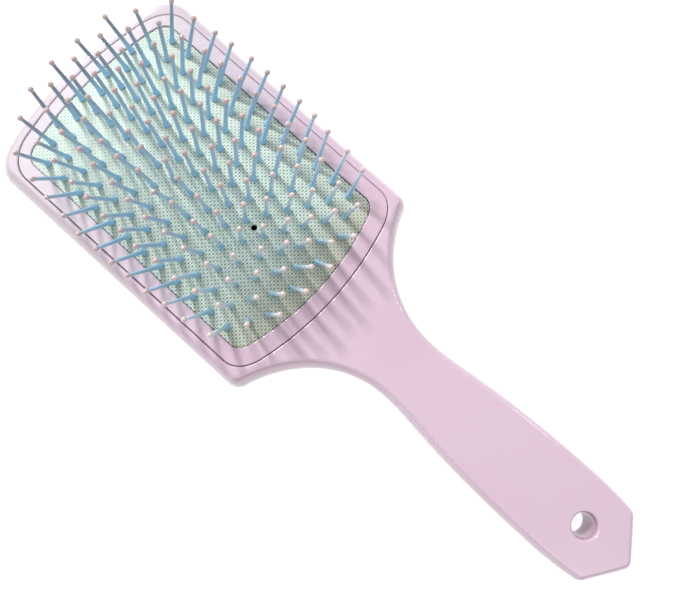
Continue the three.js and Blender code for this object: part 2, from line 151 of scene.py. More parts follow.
def corner(start: Points, end: Points, out: Points, into: Points, steps: int) -> Points:
    """Points of a round corner after its start.

    Args:
        start: Where the corner begins.
        end: Where it ends.
        out: Unit heading at the start.
        into: Unit heading at the end.
        steps: How many points to give.

    Returns:
        An array of `steps` points that ends at `end`.
    """
    turn = math.acos(float(np.clip(out @ into, -1, 1)))
    reach = np.linalg.norm(end - start)
    pull = (2 / 3) * reach * math.tan(turn / 4) / math.sin(turn / 2)
    return cubic(start, start + pull * out, end - pull * into, end, steps)


def inset(outline: Points, distance: Points) -> Points:
    """Moves each point of an anticlockwise closed outline inwards, with mitred corners.

    Args:
        outline: The outline's points.
        distance: How far each point's two sides move.

    Returns:
        The moved points.
    """
    before = outline - np.roll(outline, 1, axis=0)
    before /= np.linalg.norm(before, axis=1, keepdims=True)
    after = np.roll(before, -1, axis=0)
    inward_before = np.stack([-before[:, 1], before[:, 0]], axis=1)
    inward_after = np.stack([-after[:, 1], after[:, 0]], axis=1)
    mitre = inward_before + inward_after
    mitre /= (1 + np.sum(inward_before * inward_after, axis=1))[:, None]
    return outline + mitre * np.asarray(distance)[:, None]


def circle(centre: Points, radius: float, sides: int) -> Points:
    """Points of a circle, anticlockwise."""
    turn = TAU * np.arange(sides) / sides
    return centre + radius * np.stack([np.cos(turn), np.sin(turn)], axis=1)


def inside(points: Points, outline: Points) -> np.ndarray:
    """Says which points lie inside a closed outline.

    Args:
        points: The points to test.
        outline: The closed outline.

    Returns:
        One truth value for each point.
    """
    crossings = np.zeros(len(points), dtype=int)
    x, y = points[:, 0], points[:, 1]
    for (ax, ay), (bx, by) in zip(outline, np.roll(outline, -1, axis=0)):
        spans = (ay > y) != (by > y)
        with np.errstate(divide="ignore", invalid="ignore"):
            meets = ax + (y - ay) * (bx - ax) / (by - ay)
        crossings += spans & (x < meets)
    return crossings % 2 == 1


def nearest_on(points: Points, outline: Points) -> Points:
    """The nearest place on a closed outline to each point."""
    best = np.full(len(points), np.inf)
    place = points.copy()
    for a, b in zip(outline, np.roll(outline, -1, axis=0)):
        side = b - a
        share = np.clip((points - a) @ side / (side @ side), 0, 1)
        foot = a + share[:, None] * side
        gap = np.linalg.norm(points - foot, axis=1)
        closer = gap < best
        best[closer] = gap[closer]
        place[closer] = foot[closer]
    return place


@dataclass(frozen=True)
class Bow:
    """A bowed end: x is its place on the axis, and rise is its bow at BOW_SPAN from it."""

    x: float
    rise: float

    def at(self, y: float) -> float:
        """Place along the brush at a distance from the axis."""
        return self.x + self.rise * (y / BOW_SPAN) ** 2

    def heading(self, y: float) -> Points:
        """Unit tangent towards +Y."""
        slope = np.array([2 * self.rise * y / BOW_SPAN**2, 1.0])
        return slope / np.linalg.norm(slope)


@dataclass(frozen=True)
class Panel:
    """A four-sided plan shape with straight long sides and bowed ends."""

    head: Bow
    handle: Bow
    half_width: float
    head_corner: float
    handle_corner: float

    def grown(self, by: float) -> "Panel":
        """The same panel with every edge moved outwards."""
        return Panel(
            replace(self.head, x=self.head.x - by),
            replace(self.handle, x=self.handle.x + by),
            self.half_width + by,
            self.head_corner + by,
            self.handle_corner + by,
        )

    def outline(self, end_steps: int = 36, corner_steps: int = 14, side_steps: int = 40) -> Points:
        """Closed anticlockwise outline from the head's end.

        Args:
            end_steps: Points along each bowed end.
            corner_steps: Points round each corner.
            side_steps: Points along each long side.

        Returns:
            The outline's points. The count depends only on the steps.
        """
        head_y = self.half_width - self.head_corner
        handle_y = self.half_width - self.handle_corner
        head_x, handle_x = self.head.at(head_y), self.handle.at(handle_y)
        along = np.array([1.0, 0.0])
        up = np.array([1.0, -1.0])
        head_top = np.array([head_x, head_y])
        handle_low = np.array([handle_x, -handle_y])
        low_left = np.array([head_x + self.head_corner, -self.half_width])
        low_right = np.array([handle_x - self.handle_corner, -self.half_width])
        head_pull = np.array([2 * self.head.x - head_x, 0.0])
        handle_pull = np.array([2 * self.handle.x - handle_x, 0.0])
        head_down, head_in = -self.head.heading(-head_y), -self.head.heading(head_y)
        out, back = self.handle.heading(-handle_y), self.handle.heading(handle_y)
        parts = [
            quadratic(head_top, head_pull, head_top * up, end_steps),
            corner(head_top * up, low_left, head_down, along, corner_steps),
            straight(low_left, low_right, side_steps),
            corner(low_right, handle_low, along, out, corner_steps),
            quadratic(handle_low, handle_pull, handle_low * up, end_steps),
            corner(handle_low * up, low_right * up, back, -along, corner_steps),
            straight(low_right * up, low_left * up, side_steps),
            corner(low_left * up, head_top, -along, head_in, corner_steps),
        ]
        return np.concatenate(parts)


RECESS = Panel(Bow(-52.6, 3.1), Bow(57.2, -3.7), 36.4, head_corner=10.0, handle_corner=8.4)
OPENING = Panel(Bow(-48.5, 3.0), Bow(51.8, -4.3), 31.5, head_corner=4.8, handle_corner=4.8)


# ---- Making meshes ----


def around(loop: Loop) -> Edges:
    """Edges of a closed loop."""
    return list(zip(loop, loop[1:] + loop[:1]))


class MeshDraft:
    """Collects points and faces of one piece, in millimetres from the head's middle."""

    def __init__(self) -> None:
        """Starts an empty draft."""
        self.points: list[np.ndarray] = []
        self.count = 0
        self.faces: list[tuple[int, ...]] = []
        self.rise: list[np.ndarray] = []

    def add(self, points: Points, rise: float | np.ndarray = 0.0) -> Loop:
        """Adds points.

        Args:
            points: Places as rows of x, y and z.
            rise: A number from 0 to 1 that a finish can read, one or one for each point.

        Returns:
            The new points' indices.
        """
        first = self.count
        self.points.append(points)
        self.rise.append(np.broadcast_to(np.asarray(rise, dtype=float), (len(points),)))
        self.count += len(points)
        return list(range(first, self.count))

    def level(self, outline: Points, z: float | np.ndarray) -> Loop:
        """Adds a plan outline at a height, or at a height for each point."""
        heights = np.broadcast_to(np.asarray(z, dtype=float), (len(outline),))
        return self.add(np.column_stack([outline, heights]))

    def bridge(self, low: Loop, high: Loop) -> None:
        """Joins two closed loops of equal length with a band of quads."""
        for (a, b), (c, d) in zip(around(low), around(high)):
            self.faces.append((a, b, d, c))

    def skin(self, loops: list[Loop]) -> None:
        """Joins each loop to the next."""
        for low, high in zip(loops, loops[1:]):
            self.bridge(low, high)

    def wall(self, edges: Edges, lower: dict[int, int]) -> None:
        """Drops a wall from free edges to the matching lower points."""
        self.faces += [(b, a, lower[a], lower[b]) for a, b in edges]

    def fan(self, loop: Loop, centre: np.ndarray, rise: float = 0.0) -> None:
        """Closes a loop with triangles to a middle point."""
        (middle,) = self.add(centre[None, :], rise)
        self.faces += [(a, b, middle) for a, b in around(loop)]

    def fill(self, loops: list[Loop], keep: Keep) -> None:
        """Fills the space between closed loops with triangles, in plan.

        Args:
            loops: Loops of points that the filling joins, in any order.
            keep: Says which triangles stay, from their middles in plan.
        """
        self.fill_edges([edge for loop in loops for edge in around(loop)], keep)

    def fill_edges(self, edges: Edges, keep: Keep, extra: Loop = ()) -> None:
        """As fill, for edges in any order.

        Args:
            edges: Pairs of point indices.
            keep: Says which triangles stay, from their middles in plan.
            extra: Loose points that the filling passes through.
        """
        used = sorted({i for edge in edges for i in edge} | set(extra))
        places = np.concatenate(self.points)[used][:, :2]
        local = {index: k for k, index in enumerate(used)}
        vectors = [Vector((float(x), float(y))) for x, y in places]
        pairs = [(local[a], local[b]) for a, b in edges]
        result = delaunay_2d_cdt(vectors, pairs, [], 0, 1e-6)
        found, triangles, origins = result[0], result[2], result[3]
        plan = np.array([tuple(v) for v in found])
        corners = np.array(triangles)
        kept = keep(plan[corners].mean(axis=1))
        for triangle in corners[kept]:
            self.faces.append(tuple(used[origins[k][0]] for k in triangle))

    def finish(self, name: str, shading: Shading = Shading.SMOOTH) -> bpy.types.Object:
        """Makes the piece, with its faces turned outwards.

        Args:
            name: The piece's name.
            shading: How it takes its normals.

        Returns:
            The new object.
        """
        places = np.concatenate(self.points)
        places = (places + np.array([HEAD_CENTRE_X, 0.0, 0.0])) * MM
        mesh = bpy.data.meshes.new(name)
        mesh.from_pydata(places.tolist(), [], self.faces)
        rise = mesh.attributes.new("rise", "FLOAT", "POINT")
        rise.data.foreach_set("value", np.concatenate(self.rise).astype(np.float32))
        draft = bmesh.new()
        draft.from_mesh(mesh)
        loose = [v for v in draft.verts if not v.link_faces]
        bmesh.ops.delete(draft, geom=loose, context="VERTS")
        bmesh.ops.recalc_face_normals(draft, faces=draft.faces)
        draft.to_mesh(mesh)
        draft.free()
        mesh.shade_smooth()
        piece = bpy.data.objects.new(name, mesh)
        bpy.context.scene.collection.objects.link(piece)
        if shading is Shading.LEVEL_FACES:
            weigh = piece.modifiers.new("level faces", "WEIGHTED_NORMAL")
            weigh.weight = 100
            weigh.keep_sharp = True
        return piece


def quarter_ellipse(across: float, down: float, steps: int) -> Profile:
    """A rounded edge, from the wall to the face.

    Args:
        across: How far in from the wall the face begins.
        down: How far under the face the wall begins.
        steps: How many steps it takes.

    Returns:
        Pairs of distance in from the wall and distance under the face.
    """
    turns = [math.pi / 2 * i / steps for i in range(steps + 1)]
    return [(across * (1 - math.cos(t)), down * (1 - math.sin(t))) for t in turns]


# ---- Finishes ----


class NodeSketch:
    """Lays out the nodes of one material."""

    def __init__(self, name: str) -> None:
        """Starts a material with a plain shader."""
        self.material = bpy.data.materials.new(name)
        self.material.use_nodes = True
        self.tree = self.material.node_tree
        self.shader = self.tree.nodes["Principled BSDF"]

    def node(self, kind: str, inputs: dict | None = None, **settings: object) -> bpy.types.Node:
        """Adds a node.

        Args:
            kind: Its type name.
            inputs: Values, or sockets to link, by input name or number.
            settings: Its own settings.

        Returns:
            The node.
        """
        node = self.tree.nodes.new(kind)
        for key, value in settings.items():
            setattr(node, key, value)
        for key, value in (inputs or {}).items():
            self.feed(node.inputs[key], value)
        return node

    def feed(self, socket: Socket, value: object) -> None:
        """Sets a socket's value, or links another socket to it."""
        if isinstance(value, Socket):
            self.tree.links.new(value, socket)
        else:
            socket.default_value = value

    def set(self, **values: object) -> None:
        """Feeds the shader's sockets; an underscore stands for a space."""
        for key, value in values.items():
            self.feed(self.shader.inputs[key.replace("_", " ")], value)

    def place(self) -> Socket:
        """Place on the piece, in metres."""
        return self.node("ShaderNodeTexCoord").outputs["Object"]

    def from_head(self) -> Socket:
        """Distance along the brush from the middle of the head, in metres."""
        along = self.node("ShaderNodeSeparateXYZ", {0: self.place()}).outputs[0]
        return self.math("SUBTRACT", along, HEAD_CENTRE_X * MM)

    def from_axis(self) -> Socket:
        """Distance across the brush from its axis, towards +Y, in metres."""
        return self.node("ShaderNodeSeparateXYZ", {0: self.place()}).outputs[1]

    def level(self) -> Socket:
        """How level the surface lies: 1 on the top or the back, 0 on an upright wall."""
        outward = self.node("ShaderNodeTexCoord").outputs["Normal"]
        rise = self.node("ShaderNodeSeparateXYZ", {0: outward}).outputs[2]
        return self.math("ABSOLUTE", rise)

    def noise(self, scale: float, detail: float = 2.0, place: object = None) -> Socket:
        """Soft noise from 0 to 1 with the given number of waves in a metre."""
        inputs = {"Vector": place or self.place(), "Scale": scale, "Detail": detail}
        return self.node("ShaderNodeTexNoise", inputs).outputs["Fac"]

    def stretched(self, x: float, y: float, z: float) -> Socket:
        """Place on the piece, scaled differently along each axis."""
        inputs = {"Vector": self.place(), "Scale": (x, y, z)}
        return self.node("ShaderNodeMapping", inputs).outputs["Vector"]

    def math(self, operation: str, *values: object) -> Socket:
        """One arithmetic step on up to three values or sockets."""
        inputs = dict(enumerate(values))
        return self.node("ShaderNodeMath", inputs, operation=operation).outputs[0]

    def ranged(
        self, value: Socket, low: float, high: float, out_low: float = 0.0, out_high: float = 1.0
    ) -> Socket:
        """Maps a value smoothly from one range to another.

        Args:
            value: The socket to map.
            low: Where the range begins.
            high: Where it ends.
            out_low: Result at its beginning.
            out_high: Result at its end.

        Returns:
            The mapped value's socket.
        """
        inputs = {0: value, 1: low, 2: high, 3: out_low, 4: out_high}
        node = self.node("ShaderNodeMapRange", inputs, interpolation_type="SMOOTHSTEP")
        return node.outputs[0]

    def blend(self, share: Socket, first: object, second: object, way: str = "MIX") -> Socket:
        """Mixes two colours, plainly or in another named way."""
        inputs = {0: share, 6: first, 7: second}
        return self.node("ShaderNodeMix", inputs, data_type="RGBA", blend_type=way).outputs[2]

    def bump(
        self, height: Socket, depth_mm: float, strength: float, under: Socket | None = None
    ) -> Socket:
        """Small relief.

        Args:
            height: Height from 0 to 1.
            depth_mm: What a height of 1 stands for.
            strength: How much of it shows.
            under: Another relief that it adds to.

        Returns:
            The socket for the shader's normal.
        """
        inputs = {"Height": height, "Distance": depth_mm * MM, "Strength": strength}
        if under is not None:
            inputs["Normal"] = under
        return self.node("ShaderNodeBump", inputs).outputs["Normal"]


def tint(red: float, green: float, blue: float) -> Colour:
    """A linear colour from screen values of 0 to 255."""
    linear = [
        c / 12.92 if c <= 0.04045 else ((c + 0.055) / 1.055) ** 2.4
        for c in (red / 255, green / 255, blue / 255)
    ]
    return (*linear, 1.0)


@dataclass(frozen=True)
class MouldedPlastic:
    """Glossy moulded plastic, faintly clouded, with painted highlight by the head and painted shade
    on walls.
    """

    name: str
    colour: Colour
    cloud: Colour
    painted_light: Colour
    wall: Colour
    roughness: float = 0.2

    def material(self) -> bpy.types.Material:
        """Lays out the finish."""
        sketch = NodeSketch(self.name)
        clouds = sketch.ranged(sketch.noise(28, 3.0), 0.35, 0.65)
        colour = sketch.blend(clouds, self.colour, self.cloud)
        # Painted highlight: the colour pales towards the head's end, where the lamps' glare falls.
        colour = sketch.blend(sketch.ranged(sketch.from_head(), 0.05, -0.058), colour, self.painted_light)
        # Painted shade: upright walls turn deeper than the level faces.
        colour = sketch.blend(sketch.ranged(sketch.level(), 0.45, 0.02), colour, self.wall)
        haze = sketch.noise(420, 4.0)
        rough = sketch.ranged(haze, 0.3, 0.7, self.roughness - 0.04, self.roughness + 0.06)
        ripple = sketch.bump(sketch.noise(260, 2.0), 0.02, 0.35)
        brushed = sketch.noise(1.0, 3.0, sketch.stretched(500, 4200, 4200))
        relief = sketch.bump(brushed, 0.004, 0.25, ripple)
        sketch.set(Base_Color=colour, Roughness=rough, Normal=relief)
        sketch.set(IOR=1.5, Coat_Weight=0.6, Coat_Roughness=0.1)
        return sketch.material


@dataclass(frozen=True)
class WovenRubber:
    """Matte rubber skin that carries the imprint of a woven cloth, with painted shade and painted
    highlight.
    """

    name: str
    painted_ridge_highlight: Colour
    field: Colour
    painted_pit_shade: Colour
    painted_edge_shade: Colour
    pitch: float

    def material(self) -> bpy.types.Material:
        """Lays out the finish."""
        sketch = NodeSketch(self.name)
        from_head, from_axis = sketch.from_head(), sketch.from_axis()
        turns = TAU / (self.pitch * MM)
        x_turn = sketch.math("MULTIPLY", from_head, turns)
        y_turn = sketch.math("MULTIPLY", from_axis, turns)
        cells = sketch.math(
            "MULTIPLY", sketch.math("COSINE", x_turn), sketch.math("COSINE", y_turn)
        )
        rows = sketch.math("COSINE", sketch.math("MULTIPLY", x_turn, 2.0))
        # Painted shade in the weave's pits, stronger towards the handle.
        pit_shade_strength = sketch.ranged(from_head, -0.048, 0.02, 0.3, 1.0)
        pit_shade_share = sketch.math("MULTIPLY", sketch.ranged(cells, 0.3, 0.85), pit_shade_strength)
        # Painted highlight on the weave's raised rows, broken up by wear.
        ridge_highlight_share = sketch.ranged(rows, 0.6, -0.9)
        worn = sketch.noise(700, 3.0)
        broken_ridge_highlight = sketch.math("MULTIPLY", ridge_highlight_share, sketch.ranged(worn, 0.3, 0.6, 0.55, 1.0))
        colour = sketch.blend(broken_ridge_highlight, self.field, self.painted_ridge_highlight)
        colour = sketch.blend(pit_shade_share, colour, self.painted_pit_shade)
        # Painted shade: the dome turns darker and warmer towards the handle and the long sides,
        # where it slopes away from the light.
        by_handle = sketch.ranged(from_head, 0.03, 0.052, 0.0, 0.85)
        by_side = sketch.ranged(from_axis, 0.016, 0.032, 0.0, 0.3)
        edge_shade_share = sketch.math("MAXIMUM", by_handle, by_side)
        colour = sketch.blend(edge_shade_share, colour, self.painted_edge_shade, "MULTIPLY")
        threads = sketch.noise(1.0, 2.0, sketch.stretched(5200, 2600, 2600))
        height = sketch.math("MULTIPLY_ADD", threads, 0.5, sketch.math("SUBTRACT", broken_ridge_highlight, pit_shade_share))
        sketch.set(
            Base_Color=colour,
            Roughness=sketch.ranged(worn, 0.2, 0.8, 0.5, 0.7),
            Normal=sketch.bump(height, 0.05, 0.6),
        )
        sketch.set(Sheen_Weight=0.15, Sheen_Roughness=0.5)
        return sketch.material


@dataclass(frozen=True)
class PinNylon:
    """Satin nylon that pales to the neck, with painted shade near the head and painted light by the
    handle.
    """

    name: str
    foot: Colour
    neck: Colour
    painted_backlit_shade: Colour
    painted_lit_tops: Colour

    def material(self) -> bpy.types.Material:
        """Lays out the finish."""
        sketch = NodeSketch(self.name)
        rise = sketch.node("ShaderNodeAttribute", attribute_name="rise").outputs["Fac"]
        shade = sketch.math("MULTIPLY_ADD", sketch.noise(160, 2.0), 0.15, rise)
        colour = sketch.blend(sketch.ranged(shade, 0.1, 1.0), self.foot, self.neck)
        from_head = sketch.from_head()
        # Painted light: the upper pins by the handle pale, as if their lit tops faced the camera.
        by_handle = sketch.ranged(from_head, 0.005, 0.042)
        painted_lit_tops = sketch.math("MULTIPLY", by_handle, sketch.ranged(rise, 0.15, 0.9))
        colour = sketch.blend(painted_lit_tops, colour, self.painted_lit_tops)
        # Painted shade: the upper pins near the head's end turn grey, as their side towards the
        # camera is unlit.
        by_head = sketch.ranged(from_head, -0.022, -0.052, 0.0, 0.9)
        painted_backlit_shade = sketch.math("MULTIPLY", by_head, sketch.ranged(rise, 0.1, 0.6))
        colour = sketch.blend(painted_backlit_shade, colour, self.painted_backlit_shade)
        drawn = sketch.noise(1.0, 3.0, sketch.stretched(2500, 2500, 300))
        sketch.set(
            Base_Color=colour,
            Roughness=sketch.ranged(drawn, 0.3, 0.7, 0.16, 0.26),
            Normal=sketch.bump(drawn, 0.01, 0.2),
        )
        sketch.set(IOR=1.56, Coat_Weight=0.7, Coat_Roughness=0.08)
        return sketch.material


@dataclass(frozen=True)
class DippedBall:
    """Glossy coating of a ball tip, a little cloudy, with painted light that pales the tips by the
    handle.
    """

    name: str
    colour: Colour
    cloud: Colour
    painted_light: Colour

    def material(self) -> bpy.types.Material:
        """Lays out the finish."""
        sketch = NodeSketch(self.name)
        clouds = sketch.noise(900, 3.0)
        colour = sketch.blend(sketch.ranged(clouds, 0.3, 0.7), self.colour, self.cloud)
        # Painted light: the balls pale towards the handle, where their lit side faces the camera.
        by_handle = sketch.ranged(sketch.from_head(), 0.0, 0.045, 0.0, 0.8)
        colour = sketch.blend(by_handle, colour, self.painted_light)
        sketch.set(
            Base_Color=colour,
            Roughness=sketch.ranged(clouds, 0.3, 0.7, 0.12, 0.22),
            Normal=sketch.bump(clouds, 0.015, 0.3),
        )
        sketch.set(IOR=1.55, Coat_Weight=0.8, Coat_Roughness=0.05)
        return sketch.material


@dataclass(frozen=True)
class StudioSheet:
    """Plain pale studio floor with an even glow of its own."""

    name: str
    colour: Colour
    glow: float = 0.9

    def material(self) -> bpy.types.Material:
        """Lays out the finish."""
        sketch = NodeSketch(self.name)
        sketch.set(Base_Color=self.colour, Roughness=0.8)
        sketch.set(Emission_Color=(1.0, 1.0, 1.0, 1.0), Emission_Strength=self.glow)
        return sketch.material


def dress(piece: bpy.types.Object, material: bpy.types.Material, body: Body) -> None:
    """Gives a piece its finish and body."""
    piece.data.materials.clear()
    piece.data.materials.append(material)
    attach(piece, body.value)


# ---- Pegs, which the frame, the cushion and the body share ----


@dataclass(frozen=True)
class Pegs:
    """Locating pegs under the frame, in two rows."""

    radius: float = 0.9
    depth: float = 2.4
    from_axis: float = 34.2
    along: tuple[float, ...] = (-36.0, -12.0, 14.0, 38.0)
    sides: int = 20

    def centres(self) -> list[Points]:
        """Places of the pegs in plan."""
        return [np.array([x, y]) for x in self.along for y in (self.from_axis, -self.from_axis)]

    def clear_of(self, points: Points, gap: float) -> np.ndarray:
        """Says which points lie outside every peg's hole."""
        clear = np.ones(len(points), dtype=bool)
        across_flats = (self.radius + gap) * math.cos(math.pi / self.sides)
        for centre in self.centres():
            clear &= np.linalg.norm(points - centre, axis=1) > across_flats
        return clear


PEGS = Pegs()
LEDGE_Z = 9.3
FLANGE_TOP_Z = 11.1
FACE_Z = 13.4


# ---- Handle and head ----


@dataclass
class HandleAndHead:
    """One moulding: handle, head, hang hole, recess and air chamber."""

    finish: MouldedPlastic
    half_width: float = 40.8
    head_edge: Bow = Bow(-57.75, 3.1)
    head_corner: float = 9.5
    shoulder: tuple[float, float] = (54.6, 37.7)
    shoulder_corner: float = 4.3
    shoulder_heading: float = -1.25
    neck: tuple[float, float] = (89.6, 11.0)
    swell: tuple[float, float] = (152.0, 14.8)
    handle_shoulder: tuple[float, float] = (168.9, 13.6)
    tip_x: float = 178.4
    tip_radius: float = 3.3
    head_back: Rounding = (4.2, 4.8)
    head_face: Rounding = (3.6, 7.6)
    handle_back: Rounding = (3.0, 3.4)
    handle_face: Rounding = (2.3, 3.6)
    round_changes: tuple[float, float] = (50.0, 84.0)
    lip: float = 0.45
    chamber_over_opening: float = 0.5
    chamber_floor: float = 2.6
    hole_x: float = 159.4
    hole_radius: float = 3.8
    hole_mouth: Rounding = (0.9, 2.4)
    hole_sides: int = 72
    closest: float = 0.02
    shoulder_pull: float = 10.8
    neck_pulls: tuple[float, float] = (20.6, 12.0)
    swell_pulls: tuple[float, float] = (40.0, 9.0)

    def lower_side(self) -> Points:
        """Lower half of the outline, from the middle of the head's edge to the tip."""
        end_y = self.half_width - self.head_corner
        end_x = self.head_edge.at(end_y)
        along = np.array([1.0, 0.0])
        turn = np.array([math.cos(self.shoulder_heading), -math.sin(self.shoulder_heading)])
        below = np.array([1.0, -1.0])
        start = np.array([self.head_edge.x, 0.0])
        edge_end = np.array([end_x, -end_y])
        side_start = np.array([end_x + self.head_corner, -self.half_width])
        shoulder, neck, swell, end = (
            below * place for place in (self.shoulder, self.neck, self.swell, self.handle_shoulder)
        )
        side_end = np.array([shoulder[0] - self.shoulder_corner, -self.half_width])
        pull = np.array([self.head_edge.x, -end_y / 2])
        to_neck, from_neck = neck - self.neck_pulls[0] * along, neck + self.neck_pulls[1] * along
        parts = [
            start[None, :],
            quadratic(start, pull, edge_end, 20),
            corner(edge_end, side_start, -self.head_edge.heading(-end_y), along, 16),
            straight(side_start, side_end, 30),
            corner(side_end, shoulder, along, turn, 14),
            cubic(shoulder, shoulder + self.shoulder_pull * turn, to_neck, neck, 40),
            cubic(neck, from_neck, swell - self.swell_pulls[0] * along, swell, 44),
            self.rounded_end(swell, swell + self.swell_pulls[1] * along, end),
        ]
        return np.concatenate(parts)

    def rounded_end(self, swell: Points, pull: Points, shoulder: Points) -> Points:
        """Side of the grip's end, its shoulder and its tip, with the two corners rounded.

        Args:
            swell: Widest place of the grip.
            pull: Control point of the side that leaves it.
            shoulder: Sharp corner where the end facet begins.

        Returns:
            Points after the swell, up to the tip on the axis.
        """
        side = quadratic(swell, pull, shoulder, 24)
        arriving = side[-1] - side[-2]
        arriving /= np.linalg.norm(arriving)
        tip = np.array([self.tip_x, 0.0])
        facet = tip - shoulder
        facet /= np.linalg.norm(facet)
        turn = math.acos(float(arriving @ facet))
        back = self.tip_radius * math.tan(turn / 2)
        kept = side[np.linalg.norm(side - shoulder, axis=1) > back]
        shoulder_start = shoulder - back * arriving
        shoulder_end = shoulder + back * facet
        tip_start = tip - self.tip_radius * facet[0] / facet[1] * facet
        nose = tip - np.array([self.tip_radius * (1 / facet[1] - 1), 0.0])
        return np.concatenate(
            [
                kept,
                shoulder_start[None, :],
                corner(shoulder_start, shoulder_end, arriving, facet, 10),
                straight(shoulder_end, tip_start, 10),
                corner(tip_start, nose, facet, np.array([0.0, 1.0]), 8),
            ]
        )

    def outline(self) -> Points:
        """Closed anticlockwise outline of the brush in plan."""
        lower = self.lower_side()
        upper = lower[1:-1][::-1] * np.array([1.0, -1.0])
        points = np.concatenate([lower, upper])
        gaps = np.linalg.norm(points - np.roll(points, 1, axis=0), axis=1)
        return points[gaps > self.closest]

    def outer_loops(self, draft: MeshDraft) -> list[Loop]:
        """Loops of the outside, from the back up to the face."""
        outline = self.outline()
        share = smooth_step(outline[:, 0], *self.round_changes)

        def rounded(head: Rounding, handle: Rounding, steps: int) -> list[tuple[Points, Points]]:
            """Outline and depth of each step of an edge, from the wall to the flat."""
            found = []
            pairs = zip(quarter_ellipse(*head, steps), quarter_ellipse(*handle, steps))
            for (head_in, head_deep), (handle_in, handle_deep) in pairs:
                rim = inset(outline, head_in + share * (handle_in - head_in))
                found.append((rim, head_deep + share * (handle_deep - head_deep)))
            return found

        back = rounded(self.head_back, self.handle_back, 8)[::-1]
        face = rounded(self.head_face, self.handle_face, 12)
        loops = [draft.level(rim, up) for rim, up in back]
        loops += [draft.level(rim, FACE_Z - down) for rim, down in face]
        draft.skin(loops)
        return loops

    def hang_hole(self, draft: MeshDraft) -> tuple[Loop, Loop]:
        """Wall of the hang hole, with its mouths rounded.

        Args:
            draft: The body's mesh.

        Returns:
            The loops in the back and in the face.
        """
        centre = np.array([self.hole_x, 0.0])
        mouth = quarter_ellipse(*self.hole_mouth, 8)
        levels = mouth[::-1] + [(out, FACE_Z - down) for out, down in mouth]
        loops = [
            draft.level(circle(centre, self.hole_radius + out, self.hole_sides), z)
            for out, z in levels
        ]
        draft.skin(loops)
        return loops[0], loops[-1]

    def recess(self, draft: MeshDraft) -> Loop:
        """Rounded lip, wall, ledge with peg sockets, chamber wall and floor.

        Args:
            draft: The body's mesh.

        Returns:
            The lip's loop in the face.
        """
        wall = RECESS.outline()
        lip = [
            draft.level(RECESS.grown(across).outline(), FACE_Z - down)
            for across, down in quarter_ellipse(self.lip, self.lip, 8)[::-1]
        ]
        foot = draft.level(wall, LEDGE_Z)
        draft.skin([*lip, foot])
        chamber_plan = OPENING.grown(self.chamber_over_opening).outline()
        ledge_edge = draft.level(chamber_plan, LEDGE_Z)
        chamber_foot = draft.level(chamber_plan, self.chamber_floor)
        draft.bridge(ledge_edge, chamber_foot)
        sockets = [self.socket(draft, centre) for centre in PEGS.centres()]
        draft.fill(
            [foot, ledge_edge, *sockets],
            lambda p: inside(p, wall) & ~inside(p, chamber_plan) & PEGS.clear_of(p, EDGE_GAP),
        )
        draft.fill([chamber_foot], lambda p: inside(p, chamber_plan))
        return lip[0]

    def socket(self, draft: MeshDraft, centre: Points) -> Loop:
        """A peg's socket in the ledge, and its loop there."""
        plan = circle(centre, PEGS.radius + EDGE_GAP, PEGS.sides)
        top = draft.level(plan, LEDGE_Z)
        bottom = draft.level(plan, LEDGE_Z - PEGS.depth)
        draft.bridge(bottom, top)
        draft.fan(bottom, np.array([*centre, LEDGE_Z - PEGS.depth]))
        return top

    def build(self) -> bpy.types.Object:
        """Makes and dresses the body."""
        draft = MeshDraft()
        loops = self.outer_loops(draft)
        back_hole, face_hole = self.hang_hole(draft)
        lip = self.recess(draft)
        places = np.concatenate(draft.points)[:, :2]
        back_plan, face_plan = places[loops[0]], places[loops[-1]]
        lip_plan, hole_plan = places[lip], places[back_hole]
        draft.fill(
            [loops[0], back_hole], lambda p: inside(p, back_plan) & ~inside(p, hole_plan)
        )
        draft.fill(
            [loops[-1], face_hole, lip],
            lambda p: inside(p, face_plan) & ~inside(p, hole_plan) & ~inside(p, lip_plan),
        )
        piece = draft.finish("body_shell", Shading.LEVEL_FACES)
        dress(piece, self.finish.material(), Body.HANDLE)
        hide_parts("handle_body")
        return piece


# ---- Retaining frame ----


